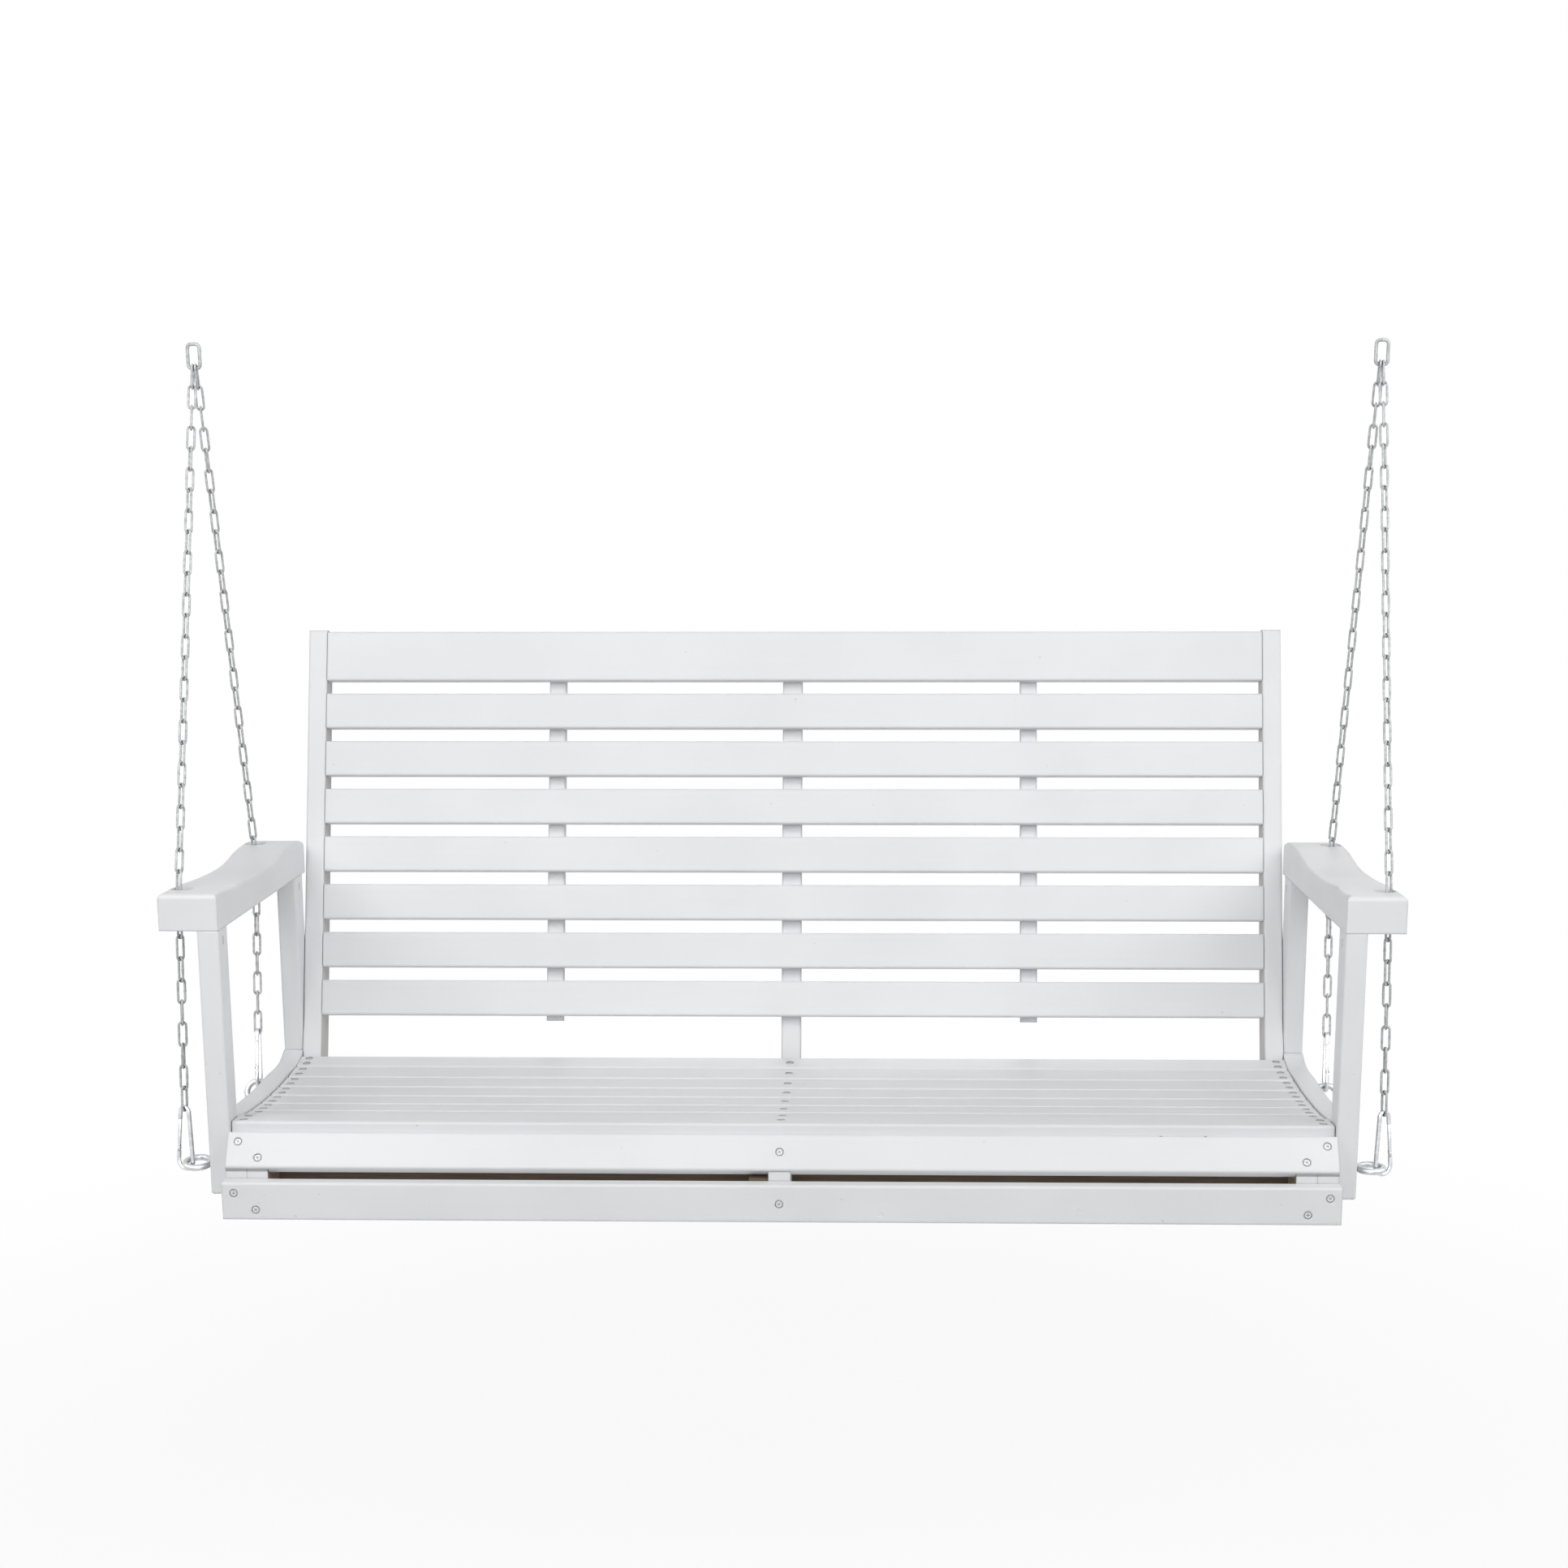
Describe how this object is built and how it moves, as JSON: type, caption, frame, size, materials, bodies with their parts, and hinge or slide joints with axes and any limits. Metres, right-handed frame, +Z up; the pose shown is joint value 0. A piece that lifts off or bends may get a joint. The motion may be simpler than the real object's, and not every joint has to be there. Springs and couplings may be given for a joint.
{
  "type": "porch swing seat",
  "caption": "Slatted wooden bench with a reclined back and curved arms, hung from two points by four chain legs with snap hooks.",
  "frame": {"origin": "middle of the bounding box's base, level with the apron's lower edge", "axes": "+Z up, front towards -Y, +X to the right of someone who faces the seat"},
  "size_m": [1.5298, 0.6868, 1.0579],
  "materials": {
    "paint": "satin white paint on softwood",
    "bare_wood": "bare brown wood",
    "chain": "bright zinc plate",
    "zinc": "bright zinc plate",
    "fasteners": "zinc plate"
  },
  "bodies": {
    "hanging_links": {"hanging_links": "zinc"},
    "swing": {"apron_cleat": "bare_wood", "arm_studs": "fasteners", "armrest_left": "paint", "armrest_right": "paint", "back_batten_left": "paint", "back_batten_right": "paint", "back_bolt_nuts": "fasteners", "back_bolts": "fasteners", "back_screws": "fasteners", "back_slat_1": "paint", "back_slat_2": "paint", "back_slat_3": "paint", "back_slat_4": "paint", "back_slat_5": "paint", "back_slat_6": "paint", "back_slat_7": "paint", "back_stile_center": "paint", "back_stile_left": "paint", "back_stile_right": "paint", "back_top_rail": "paint", "barrel_nuts": "fasteners", "chain_front_left": "chain", "chain_front_right": "chain", "chain_rear_left": "chain", "chain_rear_right": "chain", "eye_bolt_nuts": "fasteners", "eye_bolts": "fasteners", "front_apron": "paint", "front_post_left": "paint", "front_post_right": "paint", "front_screws": "fasteners", "inner_rail_left": "bare_wood", "inner_rail_right": "bare_wood", "nose_board": "paint", "rear_post_left": "paint", "rear_post_right": "paint", "rear_stretcher": "paint", "seat_screws": "fasteners", "seat_slat_1": "paint", "seat_slat_2": "paint", "seat_slat_3": "paint", "seat_slat_4": "paint", "seat_slat_5": "paint", "seat_slat_6": "paint", "seat_slat_7": "paint", "seat_slat_8": "paint", "seat_support_center": "paint", "seat_support_inner_left": "paint", "seat_support_inner_right": "paint", "seat_support_outer_left": "paint", "seat_support_outer_right": "paint", "side_rail_left": "paint", "side_rail_right": "paint", "snap_hooks": "zinc"},
    "snap_gate_front_left": {"snap_gate_front_left": "zinc"},
    "snap_gate_front_right": {"snap_gate_front_right": "zinc"},
    "snap_gate_rear_left": {"snap_gate_rear_left": "zinc"},
    "snap_gate_rear_right": {"snap_gate_rear_right": "zinc"}
  },
  "joints": [
    {"name": "swing", "type": "hinge", "parent": "hanging_links", "child": "swing", "pos_m": [0, 0.00658, 1.02525], "axis": [1, 0, 0], "range_deg": [-25, 25]},
    {"name": "gate_front_left", "type": "hinge", "parent": "swing", "child": "snap_gate_front_left", "pos_m": [-0.75872, -0.26748, 0.06973], "axis": [0.4226, 0.9015, -0.0938], "range_deg": [0, 14], "stiffness_Nm_per_rad": 0.06, "springref_deg": -14.32},
    {"name": "gate_front_right", "type": "hinge", "parent": "swing", "child": "snap_gate_front_right", "pos_m": [0.75872, -0.26747, 0.06983], "axis": [0.4226, -0.9015, 0.0938], "range_deg": [0, 14], "stiffness_Nm_per_rad": 0.06, "springref_deg": -14.32},
    {"name": "gate_rear_left", "type": "hinge", "parent": "swing", "child": "snap_gate_rear_left", "pos_m": [-0.73502, 0.05951, 0.08296], "axis": [-0.9997, 0, -0.0258], "range_deg": [0, 14], "stiffness_Nm_per_rad": 0.06, "springref_deg": -14.32},
    {"name": "gate_rear_right", "type": "hinge", "parent": "swing", "child": "snap_gate_rear_right", "pos_m": [0.73502, 0.05951, 0.08296], "axis": [-0.9997, 0, 0.0258], "range_deg": [0, 14], "stiffness_Nm_per_rad": 0.06, "springref_deg": -14.32}
  ]
}
